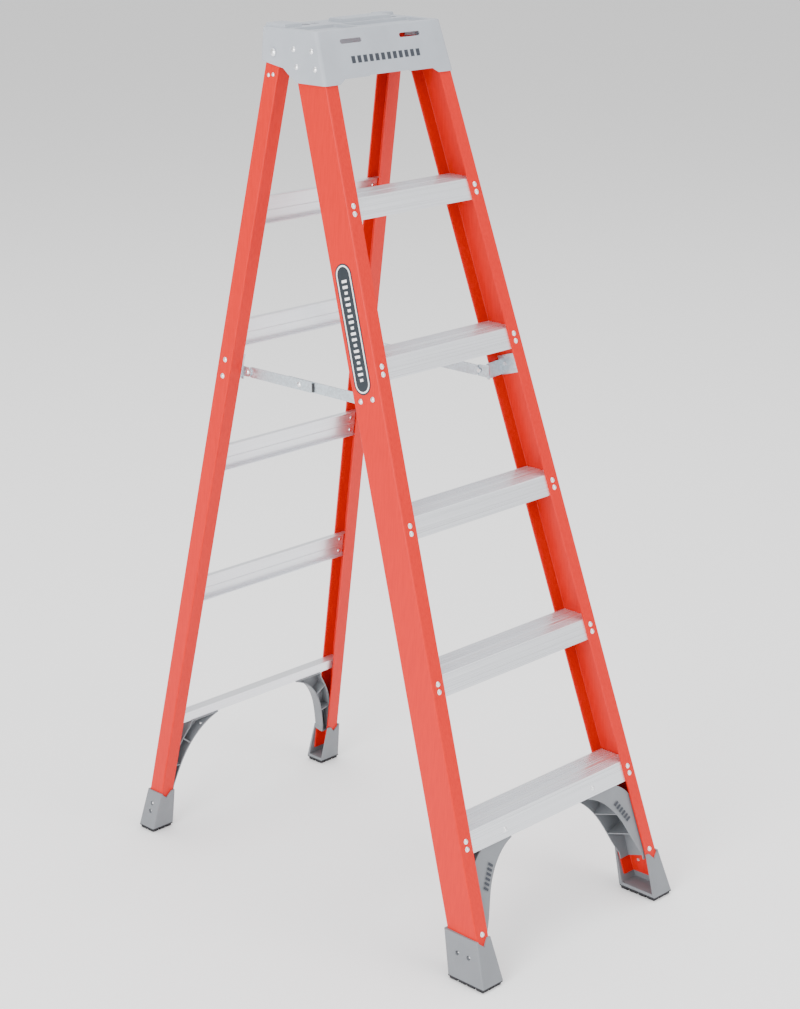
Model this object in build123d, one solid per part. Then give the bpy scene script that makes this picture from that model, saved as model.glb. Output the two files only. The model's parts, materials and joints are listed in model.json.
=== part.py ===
from build123d import *
import os
from math import atan2, cos, degrees, hypot, radians, sin, sqrt

# Platform step ladder: a tapered front section with five treads, hinged under a moulded
# top cap to a lighter rear section, and held open by two folding spreaders.
# Frame: +X to the right seen from the front, treads face -Y, +Z up, origin on the floor
# at the centre of the footprint. Millimetres.

# Side rails: fibreglass channels, web outside, flanges pointing inward
FLANGE = 32.0
RAIL_WALL = 3.4
RAIL_CORNER = 3.0
RAIL_INNER_CORNER = 1.6
RIVET_INSET = 17.5
RAIL_FOOT_Z = 30.0
FRONT_HALF_WIDTH = 280.4
FRONT_FACE_Y = -515.9
FRONT_TAPER = 0.0652
FRONT_LEAN = 0.3199
FRONT_WEB = 76.2
FRONT_RAIL_TOP = 1724.0
REAR_HALF_WIDTH = 274.0
REAR_FACE_Y = 475.05
REAR_TAPER = 0.0615
REAR_LEAN = -0.195
REAR_WEB = 38.0
REAR_RAIL_TOP = 1732.0

# Treads of the front section
STEP_COUNT = 5
FIRST_TREAD_Z = 288.0
STEP_PITCH = 291.95
APRON_HEIGHT = 40.5
SKIRT_HEIGHT = 26.0
STEP_WALL = 2.0
RIB_HEIGHT = 1.2
RIB_WIDTH = 3.2
RIB_PITCH = 6.0
GROOVE_RIB = 5
STEP_RIVET_DROPS = (12.1, 26.65)
SIDE_GAP = 0.25
END_GAP = 3.0

# Horizontal braces of the rear section, bottom one first
REAR_BRACE_TOPS = (276.0, 597.0, 896.0, 1170.0, 1424.5)
REAR_BRACE_HEIGHTS = (23.0, 58.0, 58.0, 58.0, 58.0)
BRACE_WALL = 1.8
BRACE_LIP = 12.0
TUBE_DEPTH = 25.0
BEAD_FROM_TOP = 0.56
BEAD_SIZE = 2.4

# Rivets
SHANK_R = 3.0
HEAD_R = 5.5
HEAD_RISE = 2.6
TAIL_R = 4.4
TAIL_RISE = 1.8
SMALL_SHANK_R = 2.2
SMALL_HEAD_R = 3.8
SMALL_HEAD_RISE = 1.8
HOLE_CLEARANCE = 0.06
HEAD_GAP = 0.02

# Top cap
CAP_TOP_Z = 1760.0
CAP_LOW_Z = 1640.0
CAP_WALL = 2.6
CAP_HALF_WIDTH_TOP = 168.9
CAP_SIDE_SLOPE = 0.075
CAP_REAR_Y_TOP = 193.9
CAP_REAR_SLOPE = 0.027
CAP_CORNER = 7.0
CAP_EDGE = 2.4
TRAY_DEPTH = 6.0
CAP_BOSS_RISE = 1.4
CAP_BOSS_R = 9.0
SLOT_CENTRES = (-84.0, 76.0)
SLOT_Z = 1738.0
SLOT_LENGTH = 58.0
SLOT_HEIGHT = 8.6
CAP_ISLANDS = (
    ((-166.0, -118.0), (132.0, 191.0), 1767.5),
    ((118.0, 166.0), (166.0, 191.0), 1766.5),
    ((-22.0, 116.0), (124.0, 166.0), 1768.0),
)
CAP_TRAYS = (
    ((-152.0, -44.0), (58.0, 122.0)),
    ((-34.0, 150.0), (58.0, 116.0)),
)
TOOL_HOLES = ((-92.0, 160.0, 14.0), (-62.0, 160.0, 9.0), (134.0, 140.0, 8.0))
HINGE_Y = 159.55
HINGE_Z = 1713.5
HINGE_PIN_R = 4.0

# Shoes and tread pads
PAD_HEIGHT = 9.0
PAD_PLATE = 3.0
PAD_INSET = 0.6
SHOE_TOP_Z = 95.0
SHOE_FLOOR = 6.0
SHOE_SIDE = 3.4
SHOE_CORNER = 3.0
NOTCH_DEPTH = 14.0
NOTCH_REACH = 24.0
RECESS_LENGTH = 12.0
LUG_PITCH = 21.0
LUG_SHARE = 0.78
FRONT_FLOOR_X = (-290.3, -233.7)
FRONT_FLOOR_Y = (-518.05, -424.35)
FRONT_SHOE_TOP_X = (-278.2, -240.0)
REAR_FLOOR_X = (-283.9, -227.5)
REAR_FLOOR_Y = (470.65, 518.05)
REAR_SHOE_TOP_X = (-272.0, -234.0)

# Knee braces under the lowest tread and the lowest rear brace
KNEE_WALL = 2.6
KNEE_MOUTH = 40.0
CORNER_RELIEF = 1.5
KNEE_RIVET_Z = 102.6
KNEE_TREAD_RIVET = (133.0, 264.0)
KNEE_SKIRT_RIVET = (160.0, 293.0)
REAR_KNEE_RIVET = (160.0, 447.0)

# Spreaders
SPREAD_FRONT = (-76.95, 1067.0)
SPREAD_REAR = (256.05, 1065.0)
FOLD_ANGLE = 28.77
ARM_WIDTH = 22.0
ARM_THICKNESS = 2.6
ARM_LAP = 36.5
OUTER_ARM_X = 167.0
INNER_ARM_X = 164.1
PIVOT_R = 3.0
ARM_GAP = 0.2
ARM_DIFFERENCE = 0.9997
BRACKET_WALL = 2.6
LEG_OVERLAP = 1.6
FRONT_EAR_R = 12.0
REAR_EAR_R = 10.0
PLATE_WALL = 2.6
STOP_WIDTH = 4.0

# Labels on the front rails
LABEL_Z = 1215.0
LABEL_LENGTH = 253.0
LABEL_WIDTH = 45.0
LABEL_DEPTH = 43.0
LABEL_THICKNESS = 0.35


def rail_frame(half_width, face_y, taper, lean):
    """Left-hand rail frame: X inward across the flange, Y rearward across the web, Z up."""
    up = Vector(taper, lean, 1).normalized()
    back = Vector(0, 1, -lean).normalized()
    return Plane(origin=(-half_width, face_y, 0), x_dir=back.cross(up), z_dir=up)


FRONT_RAIL = rail_frame(FRONT_HALF_WIDTH, FRONT_FACE_Y, FRONT_TAPER, FRONT_LEAN)
REAR_RAIL = rail_frame(REAR_HALF_WIDTH, REAR_FACE_Y, REAR_TAPER, REAR_LEAN)


def rail_point(rail, across, depth, height):
    """Point at a place in the rail's section and a height above the floor."""
    base = rail.from_local_coords(Vector(across, depth, 0))
    return base + rail.z_dir * ((height - base.Z) / rail.z_dir.Z)


def mirrored(shape):
    return mirror(shape, about=Plane.YZ)


def both_sides(shapes):
    return list(shapes) + [mirrored(shape) for shape in shapes]


def save(name, shapes):
    solids = []
    for shape in shapes:
        solids += shape.solids()
    export_step(Compound(solids), f"parts/{name}.step")


def save_pair(name, left_shapes):
    """Write a left-hand sub-part and its mirror image; the name holds a place for the side."""
    save(name.format("left"), left_shapes)
    save(name.format("right"), [mirrored(shape) for shape in left_shapes])


# ---------------------------------------------------------------- rivets

def rivet(grip, shank_r=SHANK_R, head_r=HEAD_R, head_rise=HEAD_RISE, tail_r=TAIL_R):
    """Domed rivet on local +Z, its head resting at Z = 0 and its tail below the grip."""
    top = head_rise + HEAD_GAP
    foot = -grip - HEAD_GAP
    dome = ThreePointArc((0, top), (head_r * 0.66, top - head_rise * 0.3), (head_r, HEAD_GAP))
    rest = Polyline(
        (head_r, HEAD_GAP),
        (shank_r, HEAD_GAP),
        (shank_r, foot),
        (tail_r, foot),
        (tail_r * 0.86, foot - TAIL_RISE),
        (0, foot - TAIL_RISE),
        (0, top),
    )
    half = Plane.XZ * make_face(Curve() + [dome, rest])
    return revolve(half, axis=Axis.Z)


def small_rivet(grip):
    return rivet(grip, SMALL_SHANK_R, SMALL_HEAD_R, SMALL_HEAD_RISE, SMALL_HEAD_R)


def drill(part, sites, shank_r=SHANK_R, reach=20.0):
    """Cut the rivet holes that belong to the sites."""
    hole = Cylinder(shank_r + HOLE_CLEARANCE, 2 * reach)
    for site in sites:
        part = part - site * hole
    return part


def flange_site(rail, height, inset=RIVET_INSET):
    """Rivet site on a rail's front flange."""
    return Plane(origin=rail_point(rail, inset, 0, height), z_dir=-rail.y_dir)


def back_site(rail, web, height, inset=RIVET_INSET):
    """Rivet site on a rail's rear flange."""
    return Plane(origin=rail_point(rail, inset, web, height), z_dir=rail.y_dir)


def web_site(rail, depth, height):
    """Rivet site on a rail's web."""
    return Plane(origin=rail_point(rail, 0, depth, height), z_dir=-rail.x_dir)


# ---------------------------------------------------------------- rails

def channel(rail, web, foot_z, top_z):
    """Fibreglass channel between two heights."""
    outer = Pos(FLANGE / 2, web / 2) * Rectangle(FLANGE, web)
    corners = outer.vertices().filter_by(lambda v: v.X < FLANGE / 2)
    outer = fillet(corners, RAIL_CORNER)
    inner = Pos(FLANGE / 2 + RAIL_WALL, web / 2) * Rectangle(FLANGE, web - 2 * RAIL_WALL)
    corners = inner.vertices().filter_by(lambda v: v.X < FLANGE / 2)
    inner = fillet(corners, RAIL_INNER_CORNER)
    section = outer - inner
    stock = extrude(rail * section, 2 * top_z, dir=rail.z_dir)
    stock += extrude(rail * section, web, dir=-rail.z_dir)
    tall = top_z - foot_z
    return stock & Pos(0, 0, foot_z + tall / 2) * Box(4000, 4000, tall)


def step_heights():
    return [FIRST_TREAD_Z + STEP_PITCH * n for n in range(STEP_COUNT)]


def step_front_sites():
    return [flange_site(FRONT_RAIL, z - drop) for z in step_heights() for drop in STEP_RIVET_DROPS]


def step_back_sites():
    return [back_site(FRONT_RAIL, FRONT_WEB, z - STEP_RIVET_DROPS[0]) for z in step_heights()]


def brace_sites():
    """Rivets of the rear braces, through the rear flange."""
    sites = []
    for top, tall in zip(REAR_BRACE_TOPS, REAR_BRACE_HEIGHTS):
        drops = (0.28, 0.78) if tall > 40 else (0.5,)
        sites += [back_site(REAR_RAIL, REAR_WEB, top - tall * drop) for drop in drops]
    return sites


CAP_FRONT_RIVETS = ((103.9, 1723.4), (54.5, 1723.1), (93.8, 1691.0), (42.5, 1690.6))
FRONT_SHOE_RIVETS = ((24.0, 58.0), (52.0, 58.0))
REAR_SHOE_RIVETS = ((19.0, 66.0), (19.0, 47.0))
FRONT_BRACKET_RIVETS = ((-110.5, 1080.0), (-142.5, 1090.0))
REAR_BRACKET_RIVETS = ((19.0, 1093.0), (19.0, 1058.4))
HINGE_PLATE_RIVETS = ((13.0, 1671.0), (25.0, 1669.0))


def side_site(rail, y, z):
    """Rivet site on a web at a given place seen from the side."""
    depth = (Vector(0, y, z) - rail_point(rail, 0, 0, z)).dot(rail.y_dir)
    return web_site(rail, depth, z)


def cap_sites():
    """Rivets through the cap's side wall and the front rail's web, square to the cap's side."""
    return [cap_side_site(y, z) for y, z in CAP_FRONT_RIVETS]


def cap_side_x(z):
    return CAP_HALF_WIDTH_TOP + CAP_SIDE_SLOPE * (CAP_TOP_Z - z)


def cap_side_site(y, z):
    return Plane(origin=(-cap_side_x(z), y, z), z_dir=Vector(-1, 0, CAP_SIDE_SLOPE))


def make_front_rail():
    rail = channel(FRONT_RAIL, FRONT_WEB, RAIL_FOOT_Z, FRONT_RAIL_TOP)
    rail = drill(rail, step_front_sites() + step_back_sites())
    rail = drill(rail, cap_sites())
    rail = drill(rail, [web_site(FRONT_RAIL, d, z) for d, z in FRONT_SHOE_RIVETS], SMALL_SHANK_R)
    rail = drill(rail, [side_site(FRONT_RAIL, y, z) for y, z in FRONT_BRACKET_RIVETS])
    return drill(rail, [flange_site(FRONT_RAIL, KNEE_RIVET_Z)])


def make_rear_rail():
    rail = channel(REAR_RAIL, REAR_WEB, RAIL_FOOT_Z, REAR_RAIL_TOP)
    rail = drill(rail, brace_sites(), SMALL_SHANK_R)
    rail = drill(rail, [web_site(REAR_RAIL, d, z) for d, z in REAR_SHOE_RIVETS], SMALL_SHANK_R)
    rail = drill(rail, [web_site(REAR_RAIL, d, z) for d, z in REAR_BRACKET_RIVETS])
    rail = drill(rail, [web_site(REAR_RAIL, d, z) for d, z in HINGE_PLATE_RIVETS], SMALL_SHANK_R)
    return rail - hinge_hole()


def hinge_hole():
    bore = Cylinder(HINGE_PIN_R + HOLE_CLEARANCE, 60)
    return Pos(-cap_side_x(HINGE_Z), HINGE_Y, HINGE_Z) * Rot(0, 90, 0) * bore


# ---------------------------------------------------------------- treads

def slab(y0, z0, y1, z1, lean, thickness):
    """Four corners of a leaning wall seen from the side, between two heights."""
    foot = y0 + lean * (z1 - z0)
    return [(y0, z0), (y0 + thickness, z0), (foot + thickness, z1), (foot, z1)]


def step_profile(top_z):
    """Ribbed tread with a leaning front apron and a leaning rear skirt."""
    stretch = sqrt(1 + FRONT_LEAN ** 2)
    deck = top_z - RIB_HEIGHT
    face = FRONT_FACE_Y + FRONT_LEAN * deck
    front = face + (RAIL_WALL + SIDE_GAP) * stretch
    back = face + (FRONT_WEB - RAIL_WALL - SIDE_GAP) * stretch
    wall = STEP_WALL * stretch
    apron = Polygon(*slab(front, deck, front, top_z - APRON_HEIGHT, FRONT_LEAN, wall), align=None)
    skirt = Polygon(*slab(back - wall, deck, back, top_z - SKIRT_HEIGHT, FRONT_LEAN, wall), align=None)
    plate = Polygon(
        (front, deck),
        (back, deck),
        (back - FRONT_LEAN * STEP_WALL, deck - STEP_WALL),
        (front - FRONT_LEAN * STEP_WALL, deck - STEP_WALL),
        align=None,
    )
    profile = apron + skirt + plate
    rib_count = int((back - front) // RIB_PITCH)
    for n in range(rib_count):
        if n != GROOVE_RIB:
            middle = front + RIB_HEIGHT * FRONT_LEAN + RIB_WIDTH / 2 + n * RIB_PITCH
            profile += Pos(middle, deck + RIB_HEIGHT / 2) * Rectangle(RIB_WIDTH, RIB_HEIGHT)
    return profile


def across(profile, rail, end_gap):
    """Sweep a side profile over the width and trim its ends to the two webs."""
    width = 2 * FRONT_HALF_WIDTH
    bar = extrude(Plane.YZ * profile, width / 2, both=True)
    left_end = Plane(origin=rail.from_local_coords(Vector(end_gap, 0, 0)), z_dir=rail.x_dir)
    bar = split(bar, bisect_by=left_end, keep=Keep.TOP)
    far = left_end.origin
    out = left_end.z_dir
    right_end = Plane(origin=(-far.X, far.Y, far.Z), z_dir=(-out.X, out.Y, out.Z))
    return split(bar, bisect_by=right_end, keep=Keep.TOP)


def drill_both(part, sites):
    """Cut the sites' holes and their mirror images."""
    return mirrored(drill(mirrored(drill(part, sites)), sites))


def make_step(top_z):
    step = across(step_profile(top_z), FRONT_RAIL, RAIL_WALL + END_GAP)
    sites = step_front_sites() + step_back_sites()
    if top_z == FIRST_TREAD_Z:
        sites += [knee_tread_site(), knee_skirt_site()]
    return drill_both(step, [s for s in sites if abs(s.origin.Z - top_z) < STEP_PITCH / 2])


# ---------------------------------------------------------------- rear braces

def brace_profile(top_z, tall):
    """Shallow channel seen from the side: a leaning web with a bead and two forward lips."""
    stretch = sqrt(1 + REAR_LEAN ** 2)
    back = REAR_FACE_Y + REAR_LEAN * top_z + (REAR_WEB - RAIL_WALL - SIDE_GAP) * stretch
    wall = BRACE_WALL * stretch
    low = top_z - tall
    foot = back - REAR_LEAN * (tall - BRACE_WALL)
    web = Polygon(*slab(back - wall, top_z, back - wall, low, REAR_LEAN, wall), align=None)
    top_lip = Pos(back - BRACE_LIP / 2, top_z - BRACE_WALL / 2) * Rectangle(BRACE_LIP, BRACE_WALL)
    low_lip = Pos(foot - BRACE_LIP / 2, low + BRACE_WALL / 2) * Rectangle(BRACE_LIP, BRACE_WALL)
    bead_z = top_z - BEAD_FROM_TOP * tall
    bead_y = back - wall - REAR_LEAN * (top_z - bead_z)
    return web + top_lip + low_lip + Pos(bead_y, bead_z) * Circle(BEAD_SIZE / 2)


def tube_profile(top_z, tall):
    """Rectangular tube seen from the side, between the rails' two flanges."""
    stretch = sqrt(1 + REAR_LEAN ** 2)
    back = REAR_FACE_Y + REAR_LEAN * top_z + (REAR_WEB - RAIL_WALL - SIDE_GAP) * stretch
    wall = BRACE_WALL * stretch
    outer = slab(back - TUBE_DEPTH, top_z, back, top_z - tall, REAR_LEAN, TUBE_DEPTH)
    top, low = top_z - BRACE_WALL, top_z - tall + BRACE_WALL
    start = back - TUBE_DEPTH + wall - REAR_LEAN * BRACE_WALL
    inner = slab(start, top, back, low, REAR_LEAN, TUBE_DEPTH - 2 * wall)
    return Polygon(*outer, align=None) - Polygon(*inner, align=None)


def make_rear_brace(top_z, tall):
    profile = tube_profile if top_z == REAR_BRACE_TOPS[0] else brace_profile
    brace = across(profile(top_z, tall), REAR_RAIL, RAIL_WALL + END_GAP)
    near = [s for s in brace_sites() if top_z - tall < s.origin.Z < top_z]
    for site in near + [Plane(origin=mirror_point(s.origin), z_dir=mirror_point(s.z_dir)) for s in near]:
        brace = brace - site * Cylinder(SMALL_SHANK_R + HOLE_CLEARANCE, 20)
    if top_z == REAR_BRACE_TOPS[0]:
        brace = drill_both(brace, [rear_knee_site()])
    return brace


def mirror_point(point):
    return Vector(-point.X, point.Y, point.Z)


# ---------------------------------------------------------------- shoes and pads

def rectangle_between(x_span, y_span):
    """Rectangle between two X values and two Y values."""
    width = x_span[1] - x_span[0]
    depth = y_span[1] - y_span[0]
    return Pos(sum(x_span) / 2, sum(y_span) / 2) * Rectangle(width, depth)


def tapered(low_z, low_x, low_y, high_z, high_x, high_y):
    """Block with a rectangle at each end."""
    low = Plane.XY.offset(low_z) * rectangle_between(low_x, low_y)
    high = Plane.XY.offset(high_z) * rectangle_between(high_x, high_y)
    return loft([low, high], ruled=True)


def rail_pocket(rail, web, gap):
    """Space around a rail's foot above the shoe's floor, open towards the middle."""
    reach = 3 * FLANGE
    section = Pos((reach - gap) / 2, web / 2) * Rectangle(reach + gap, web + 2 * gap)
    pocket = extrude(rail * section, 2 * SHOE_TOP_Z, dir=rail.z_dir)
    tall = 2 * SHOE_TOP_Z
    return pocket & Pos(0, 0, PAD_HEIGHT + SHOE_FLOOR + tall / 2) * Box(2000, 2000, tall)


def make_shoe(rail, web, floor_x, floor_y, top_x, rivets):
    """Moulded shoe: three walls around the rail's foot, a floor, and a V notch in front."""
    wall = SHOE_SIDE + SIDE_GAP
    top_front = rail_point(rail, 0, -wall, SHOE_TOP_Z).Y
    top_back = rail_point(rail, 0, web + wall, SHOE_TOP_Z).Y
    shoe = tapered(PAD_HEIGHT, floor_x, floor_y, SHOE_TOP_Z, top_x, (top_front, top_back))
    uprights = shoe.edges().filter_by(lambda e: abs(e.tangent_at(0.5).Z) > 0.5)
    outside = uprights.sort_by(Axis.X)[0:2]
    shoe = fillet(outside, SHOE_CORNER)
    shoe = shoe - rail_pocket(rail, web, SIDE_GAP)
    corner_x = rail_point(rail, 0, 0, SHOE_TOP_Z).X
    notch = Polygon(
        (corner_x, SHOE_TOP_Z + NOTCH_DEPTH),
        (corner_x, SHOE_TOP_Z - NOTCH_DEPTH * 0.2),
        (corner_x + FLANGE * 0.42, SHOE_TOP_Z - NOTCH_DEPTH),
        (corner_x + FLANGE * 0.85, SHOE_TOP_Z + 1),
        align=None,
    )
    front_y = (floor_y[0] + top_front) / 2
    shoe = shoe - Pos(0, front_y, 0) * extrude(Plane.XZ * notch, NOTCH_REACH, both=True)
    sites = [web_site(rail, depth, height) for depth, height in rivets]
    for site in sites:
        lifted = shoe_site(site)
        recess = Pos(0, 0, RECESS_LENGTH / 2) * Cylinder(SMALL_HEAD_R + 1, RECESS_LENGTH)
        shoe = shoe - lifted * recess
    return drill(shoe, sites, SMALL_SHANK_R)


def shoe_site(site):
    """The seat of a shoe rivet, in a counterbore of the shoe's outer wall."""
    return site.offset(SIDE_GAP + SHOE_SIDE * 0.7)


def make_pad(floor_x, floor_y):
    """Rubber tread pad: a plate with a grid of rounded lugs that stand on the floor."""
    x_span = (floor_x[0] + PAD_INSET, floor_x[1] - PAD_INSET)
    y_span = (floor_y[0] + PAD_INSET, floor_y[1] - PAD_INSET)
    plate = Plane.XY.offset(PAD_HEIGHT - PAD_PLATE) * rectangle_between(x_span, y_span)
    pad = extrude(plate, PAD_PLATE - 0.05)
    columns = round((x_span[1] - x_span[0]) / LUG_PITCH)
    rows = round((y_span[1] - y_span[0]) / LUG_PITCH)
    wide = (x_span[1] - x_span[0]) / columns
    long = (y_span[1] - y_span[0]) / rows
    tall = PAD_HEIGHT - PAD_PLATE + 1
    lug = Box(wide * LUG_SHARE, long * LUG_SHARE, tall)
    lug = Pos(0, 0, tall / 2) * fillet(lug.edges().filter_by(Plane.XY).group_by(Axis.Z)[0], 1.6)
    for i in range(columns):
        for j in range(rows):
            x = x_span[0] + wide * (i + 0.5)
            y = y_span[0] + long * (j + 0.5)
            pad += Pos(x, y, 0) * lug
    return pad


# ---------------------------------------------------------------- knee braces

def knee_frame(face_y, lean):
    """Frame in a section's front face: X outward to the left, Y up the slope, Z rearward."""
    return Plane(origin=(0, face_y, 0), x_dir=(-1, 0, 0), z_dir=Vector(0, 1, -lean).normalized())


FRONT_KNEE = knee_frame(FRONT_FACE_Y, FRONT_LEAN)
REAR_KNEE = knee_frame(REAR_FACE_Y, REAR_LEAN)


def slope(lean, height):
    """Length up the slope that belongs to a height."""
    return height * sqrt(1 + lean ** 2)


def knee_outline(lean, tip, inner, outer, top_z, foot_z, top_x, wall, overshoot):
    """Corner brace: a concave inner edge, and an outer edge that follows the rail.

    The wall thins it from the outer edge and the top, and the overshoot moves the inner edge out.
    """
    concave = [(x - overshoot, z - overshoot * 0.6) for x, z in [tip] + inner]
    convex = [(x - wall, z - wall * 0.5) for x, z in outer]
    foot = foot_z - overshoot
    head = top_z - wall
    concave = [(x, slope(lean, z)) for x, z in concave]
    convex = [(x, slope(lean, z)) for x, z in convex]
    low = slope(lean, foot)
    high = slope(lean, head)
    lines = [
        Line((concave[0][0], high), concave[0]),
        Spline(*concave),
        Line(concave[-1], (concave[-1][0], low)),
        Line((concave[-1][0], low), (convex[-1][0], low)),
        Line((convex[-1][0], low), convex[-1]),
        Spline(*reversed(convex)),
        Line(convex[0], (top_x, high)),
        Line((top_x, high), (concave[0][0], high)),
    ]
    return make_face(Curve() + lines)


FRONT_KNEE_EDGES = dict(
    tip=(118, 245),
    inner=[(162, 222), (199, 178), (222, 128), (238, 98)],
    outer=[(207, 246), (236, 222), (256, 180), (266, 120)],
    top_z=320,
    foot_z=86,
    top_x=200,
)
REAR_KNEE_EDGES = dict(
    tip=(118, 249),
    inner=[(160, 226), (198, 178), (218, 125), (226, 96)],
    outer=[(199, 238), (222, 202), (240, 160), (248, 110)],
    top_z=264,
    foot_z=84,
    top_x=190,
)
FRONT_KNEE_DEPTHS = (5.75, 70.4)
REAR_KNEE_DEPTHS = (8.0, 32.3)


def below(level):
    """Everything under a height."""
    return Pos(0, 0, level - 500) * Box(1000, 2000, 1000)


def make_knee_brace(frame, lean, edges, depths, open_front, ceiling):
    """Moulded channel between two flanges, closed along the corner side, with cross ribs."""
    near, far = depths
    body = extrude(frame.offset(near) * knee_outline(lean, wall=0, overshoot=0, **edges), far - near)
    start = near - 1 if open_front else near + KNEE_WALL
    reach = -KNEE_WALL if open_front else KNEE_MOUTH
    hollow = knee_outline(lean, wall=KNEE_WALL, overshoot=reach, **edges)
    pocket = extrude(frame.offset(start) * hollow, far - KNEE_WALL - start)
    ribs = [frame.offset(near) * knee_rib(lean, x, z, turn, far - near) for x, z, turn in KNEE_RIBS]
    pocket = pocket - ribs
    return (body & below(ceiling)) - (pocket & below(ceiling - KNEE_WALL))


KNEE_RIBS = ((205, 205, 38), (232, 150, 14))


def knee_rib(lean, x, z, turn, depth):
    return Pos(x, slope(lean, z), depth / 2) * Rot(0, 0, turn) * Box(120, KNEE_WALL, depth + 4)


def knee_tread_site():
    x, z = KNEE_TREAD_RIVET
    origin = FRONT_KNEE.from_local_coords(Vector(x, slope(FRONT_LEAN, z), RAIL_WALL + SIDE_GAP))
    return Plane(origin=origin, z_dir=-FRONT_KNEE.z_dir)


def knee_skirt_site():
    x, z = KNEE_SKIRT_RIVET
    depth = FRONT_WEB - RAIL_WALL - SIDE_GAP
    origin = FRONT_KNEE.from_local_coords(Vector(x, slope(FRONT_LEAN, z), depth))
    return Plane(origin=origin, z_dir=FRONT_KNEE.z_dir)


def knee_rail_site():
    return flange_site(FRONT_RAIL, KNEE_RIVET_Z)


def rear_tube_floor():
    """Height of the underside of the lowest rear brace."""
    return REAR_BRACE_TOPS[0] - REAR_BRACE_HEIGHTS[0]


def rear_knee_site():
    """Rivet site under the rear knee brace's flat top wall."""
    x, y = REAR_KNEE_RIVET
    return Plane(origin=(-x, y, rear_tube_floor() - SIDE_GAP - KNEE_WALL), z_dir=(0, 0, -1))


def make_front_knee():
    ceiling = FIRST_TREAD_Z - RIB_HEIGHT - STEP_WALL - SIDE_GAP
    brace = make_knee_brace(FRONT_KNEE, FRONT_LEAN, FRONT_KNEE_EDGES, FRONT_KNEE_DEPTHS, False, ceiling)
    spacer = FRONT_KNEE_DEPTHS[0] - RAIL_WALL - SIDE_GAP
    seat = knee_rail_site().offset(-RAIL_WALL - SIDE_GAP)
    brace += seat * Pos(0, 0, -spacer / 2 - 0.5) * Cylinder(7, spacer + 1)
    return drill(brace, [knee_tread_site(), knee_skirt_site(), knee_rail_site()])


def make_rear_knee():
    ceiling = rear_tube_floor() - SIDE_GAP
    brace = make_knee_brace(REAR_KNEE, REAR_LEAN, REAR_KNEE_EDGES, REAR_KNEE_DEPTHS, True, ceiling)
    return drill(brace, [rear_knee_site()])


# ---------------------------------------------------------------- spreaders

def side_plate(points, outer_x, thickness):
    """Flat plate that faces sideways, from an outline in Y and Z."""
    face = Plane(origin=(-outer_x, 0, 0), x_dir=(0, 1, 0), z_dir=(1, 0, 0)) * points
    return extrude(face, thickness)


def arm(start, end, lap, outer_x):
    """Flat spreader arm with round ends, running on past its second pivot."""
    length = hypot(end[0] - start[0], end[1] - start[1])
    turn = degrees(atan2(end[1] - start[1], end[0] - start[0]))
    bar = Pos((length + lap) / 2, 0) * Rectangle(length + lap, ARM_WIDTH)
    near = bar.vertices().filter_by(lambda v: v.X < 1)
    bar = fillet(near, ARM_WIDTH * 0.49)
    far = bar.vertices().filter_by(lambda v: v.X > length)
    bar = fillet(far, 2.5)
    bar = bar - Circle(PIVOT_R + HOLE_CLEARANCE) - Pos(length, 0) * Circle(PIVOT_R + HOLE_CLEARANCE)
    placed = Pos(start[0], start[1]) * Rot(0, 0, turn) * bar
    return side_plate(placed, outer_x, ARM_THICKNESS)


def turned(point, centre, angle):
    """A point in Y and Z, turned about the hinge as the rear section folds."""
    y, z = point[0] - centre[0], point[1] - centre[1]
    c, s = cos(angle), sin(angle)
    return (centre[0] + y * c + z * s, centre[1] - y * s + z * c)


def middle_pivot():
    """The pivot between the arms: on the straight line when open, and above both ends when shut."""
    shut = turned(SPREAD_REAR, (HINGE_Y, HINGE_Z), radians(FOLD_ANGLE))
    gap = hypot(shut[0] - SPREAD_FRONT[0], shut[1] - SPREAD_FRONT[1])
    span = hypot(SPREAD_REAR[0] - SPREAD_FRONT[0], SPREAD_REAR[1] - SPREAD_FRONT[1])
    share = (span + gap * ARM_DIFFERENCE) / (2 * span)
    y = SPREAD_FRONT[0] + share * (SPREAD_REAR[0] - SPREAD_FRONT[0])
    z = SPREAD_FRONT[1] + share * (SPREAD_REAR[1] - SPREAD_FRONT[1])
    return (y, z)


def side_cylinder(point, radius, x0, x1):
    """Cylinder across the ladder at a place in Y and Z, between two distances from the middle."""
    middle = -(x0 + x1) / 2
    return Pos(middle, point[0], point[1]) * Rot(0, 90, 0) * Cylinder(radius, abs(x1 - x0))


def ear(point, rail_y, tall, reach):
    """Ear of a spreader bracket: a plate that runs from the rail to the pivot, round at its end."""
    middle = (point[0] + rail_y) / 2
    plate = Pos(middle, point[1]) * Rectangle(abs(rail_y - point[0]), 2 * reach)
    plate += Pos(point[0], point[1]) * Circle(reach)
    return plate + Pos(rail_y, point[1]) * Rectangle(2 * BRACKET_WALL, tall)


def local_box(rail, x_span, y_span, tall, height):
    """Box square to a rail, between two places across and in depth, centred at a height."""
    x, y = sum(x_span) / 2, sum(y_span) / 2
    level = rail.to_local_coords(rail_point(rail, x, y, height)).Z
    return rail * Pos(x, y, level) * Box(x_span[1] - x_span[0], y_span[1] - y_span[0], tall)


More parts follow.
